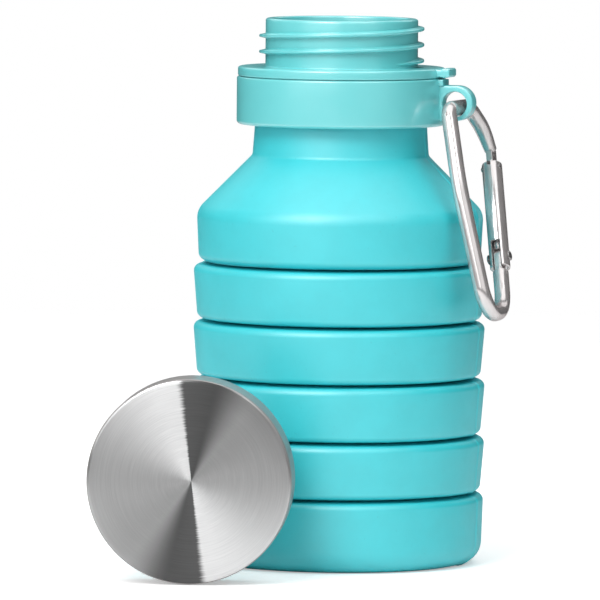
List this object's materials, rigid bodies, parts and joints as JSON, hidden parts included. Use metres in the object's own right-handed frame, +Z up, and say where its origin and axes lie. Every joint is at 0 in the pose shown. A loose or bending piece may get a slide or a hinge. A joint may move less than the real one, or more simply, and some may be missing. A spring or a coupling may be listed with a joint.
{
  "type": "folding water bottle",
  "caption": "Folding silicone water bottle with a threaded spout, a clip hanging from its collar and a steel screw cap standing beside it. The pleated body pulls out to full height.",
  "frame": {"origin": "on the bottle's axis at the middle of its underside, on the surface that it stands on", "axes": "+Z up along the bottle's axis, -Y towards the picture's viewer, +X to the viewer's right, on the carabiner's side"},
  "size_m": [0.1028, 0.0999, 0.1336],
  "materials": {
    "silicone": "matt, silky",
    "plastic": "moulded gloss",
    "cap_steel": "circular brushed face, brushed side",
    "carabiner_alloy": "polished",
    "pin_steel": "bright",
    "gasket_silicone": "matt"
  },
  "bodies": {
    "base": {"base_cup": "silicone", "fold_web_1": "silicone"},
    "band_1": {"pleat_band_1": "silicone", "fold_web_2": "silicone"},
    "band_2": {"pleat_band_2": "silicone", "fold_web_3": "silicone"},
    "band_3": {"pleat_band_3": "silicone", "fold_web_4": "silicone"},
    "band_4": {"pleat_band_4": "silicone", "fold_web_5": "silicone"},
    "shoulder": {"shoulder": "silicone", "neck_insert": "plastic", "collar_ring": "plastic"},
    "carabiner": {"carabiner_bar": "carabiner_alloy", "gate_rivet": "pin_steel"},
    "gate": {"carabiner_gate": "carabiner_alloy", "gate_latch_pin": "pin_steel", "gate_plunger": "pin_steel", "gate_spring": "pin_steel"},
    "cap": {"cap_cover": "cap_steel", "cap_liner": "plastic", "cap_gasket": "gasket_silicone"}
  },
  "joints": [
    {"name": "fold_1", "type": "slide", "parent": "base", "child": "band_1", "axis": [0, 0, 1], "range_m": [0, 0.0105], "deforming": ["fold_web_1"]},
    {"name": "fold_2", "type": "slide", "parent": "band_1", "child": "band_2", "axis": [0, 0, 1], "range_m": [0, 0.0105], "deforming": ["fold_web_2"]},
    {"name": "fold_3", "type": "slide", "parent": "band_2", "child": "band_3", "axis": [0, 0, 1], "range_m": [0, 0.0105], "deforming": ["fold_web_3"]},
    {"name": "fold_4", "type": "slide", "parent": "band_3", "child": "band_4", "axis": [0, 0, 1], "range_m": [0, 0.0105], "deforming": ["fold_web_4"]},
    {"name": "fold_5", "type": "slide", "parent": "band_4", "child": "shoulder", "axis": [0, 0, 1], "range_m": [0, 0.0105], "deforming": ["fold_web_5"]},
    {"name": "carabiner_swing", "type": "hinge", "parent": "shoulder", "child": "carabiner", "pos_m": [0.0284, -0.00868, 0.1123], "axis": [-0.2924, -0.9563, 0], "range_deg": [0, 150]},
    {"name": "gate_open", "type": "hinge", "parent": "carabiner", "child": "gate", "pos_m": [0.03904, -0.00688, 0.07554], "axis": [0.925, -0.2828, 0.2538], "range_deg": [0, 13], "stiffness_Nm_per_rad": 0.05, "springref_deg": -8.59},
    {"name": "cap_away", "type": "slide", "parent": "base", "child": "cap", "axis": [-0.0558, -0.9984, 0], "range_m": [0, 0.09]}
  ],
  "couplings": [
    {"joint": "fold_2", "follows": "fold_1", "ratio": 1},
    {"joint": "fold_3", "follows": "fold_1", "ratio": 1},
    {"joint": "fold_4", "follows": "fold_1", "ratio": 1},
    {"joint": "fold_5", "follows": "fold_1", "ratio": 1}
  ]
}
